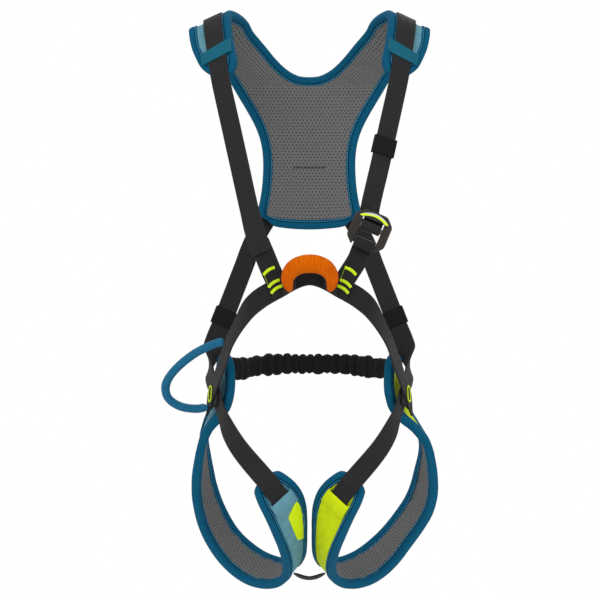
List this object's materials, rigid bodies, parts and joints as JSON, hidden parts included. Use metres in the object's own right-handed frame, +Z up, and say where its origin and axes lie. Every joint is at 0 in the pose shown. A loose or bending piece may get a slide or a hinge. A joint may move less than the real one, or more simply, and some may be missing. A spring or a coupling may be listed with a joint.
{
  "type": "climbing harness",
  "caption": "Child's full-body climbing harness with padded yoke, crossed webbing, sliding-bar buckle, fabric tie-in loop, gear loop and padded leg loops.",
  "frame": {"origin": "middle of the waist strap behind the tie-in loop, the point that a rope holds the harness by", "axes": "+X to the viewer's right as in the picture, +Y from the chest to the back, +Z up"},
  "size_m": [0.279, 0.1849, 0.5851],
  "materials": {
    "webbing_black": "woven nylon webbing",
    "mesh_grey": "perforated spacer mesh",
    "foam_dark": "closed-cell foam",
    "cloth_teal": "light woven cloth",
    "cloth_lime": "light woven cloth",
    "band_teal": "woven band",
    "binding_blue": "knitted edge binding",
    "thread_lime": "dense satin-stitch thread",
    "patch_lime": "smooth coated cloth",
    "sleeve_orange": "ribbed woven tube",
    "core_black": "woven nylon webbing",
    "elastic_black": "gathered elastic cloth",
    "loop_blue": "woven tube",
    "buckle_black": "black anodised, satin",
    "bar_grey": "brushed",
    "accent_lime": "printed band"
  },
  "bodies": {
    "torso_webbing": {"yoke_lining": "mesh_grey", "yoke_foam": "foam_dark", "yoke_shell": "cloth_teal", "yoke_binding": "binding_blue", "shoulder_strap_left": "webbing_black", "shoulder_strap_right": "webbing_black", "shoulder_retainer_left": "band_teal", "shoulder_retainer_right": "band_teal", "back_cross_tack": "webbing_black", "chest_tab_left": "webbing_black", "chest_tab_right": "webbing_black", "chest_tacks_left": "thread_lime", "chest_tacks_right": "thread_lime", "buckle_frame": "buckle_black", "buckle_accent": "accent_lime", "waist_strap": "webbing_black", "hip_tack_left": "thread_lime", "hip_tack_right": "thread_lime"},
    "buckle_bar": {"buckle_slider": "bar_grey"},
    "front_keeper": {"keeper_front": "elastic_black"},
    "rear_keeper_left": {"keeper_rear_left": "elastic_black"},
    "rear_keeper_right": {"keeper_rear_right": "elastic_black"},
    "tie_in_loop": {"tie_in_core": "core_black", "tie_in_sleeve": "sleeve_orange"},
    "gear_loop": {"gear_loop_sleeve": "loop_blue", "gear_loop_core": "core_black"},
    "leg_loops": {"leg_lining_left": "mesh_grey", "leg_lining_right": "mesh_grey", "leg_foam_left": "foam_dark", "leg_foam_right": "foam_dark", "leg_shell_left": "cloth_teal", "leg_shell_right": "cloth_lime", "leg_binding_left": "binding_blue", "leg_binding_right": "binding_blue", "leg_strap_left": "webbing_black", "leg_strap_right": "webbing_black", "leg_pocket_left": "cloth_teal", "leg_pocket_right": "cloth_lime", "leg_patch_left": "patch_lime", "crotch_strap": "webbing_black", "waist_elastic_cover": "elastic_black", "waist_elastic_core": "core_black"}
  },
  "joints": [
    {"name": "buckle_bar_slide", "type": "slide", "parent": "torso_webbing", "child": "buckle_bar", "axis": [0.3907, 0, 0.9205], "range_m": [0, 0.003]},
    {"name": "front_keeper_slide", "type": "slide", "parent": "torso_webbing", "child": "front_keeper", "axis": [0.214, 0.2085, 0.9543], "range_m": [-0.012, 0.012]},
    {"name": "rear_keeper_left_slide", "type": "slide", "parent": "torso_webbing", "child": "rear_keeper_left", "axis": [0.3356, 0.2978, 0.8937], "range_m": [-0.003, 0.014]},
    {"name": "rear_keeper_right_slide", "type": "slide", "parent": "torso_webbing", "child": "rear_keeper_right", "axis": [-0.3356, 0.2978, 0.8937], "range_m": [-0.003, 0.014]},
    {"name": "tie_in_swing", "type": "hinge", "parent": "torso_webbing", "child": "tie_in_loop", "pos_m": [0, -0.0058, -0.018], "axis": [1, 0, 0], "range_deg": [-5, 55]},
    {"name": "gear_loop_swing", "type": "hinge", "parent": "torso_webbing", "child": "gear_loop", "pos_m": [-0.08442, 0.02801, -0.06477], "axis": [-0.2814, 0.4848, -0.8281], "range_deg": [-12, 6]},
    {"name": "leg_loops_swing", "type": "hinge", "parent": "torso_webbing", "child": "leg_loops", "pos_m": [0, 0.0653, -0.1177], "axis": [1, 0, 0], "range_deg": [-12, 8]}
  ]
}
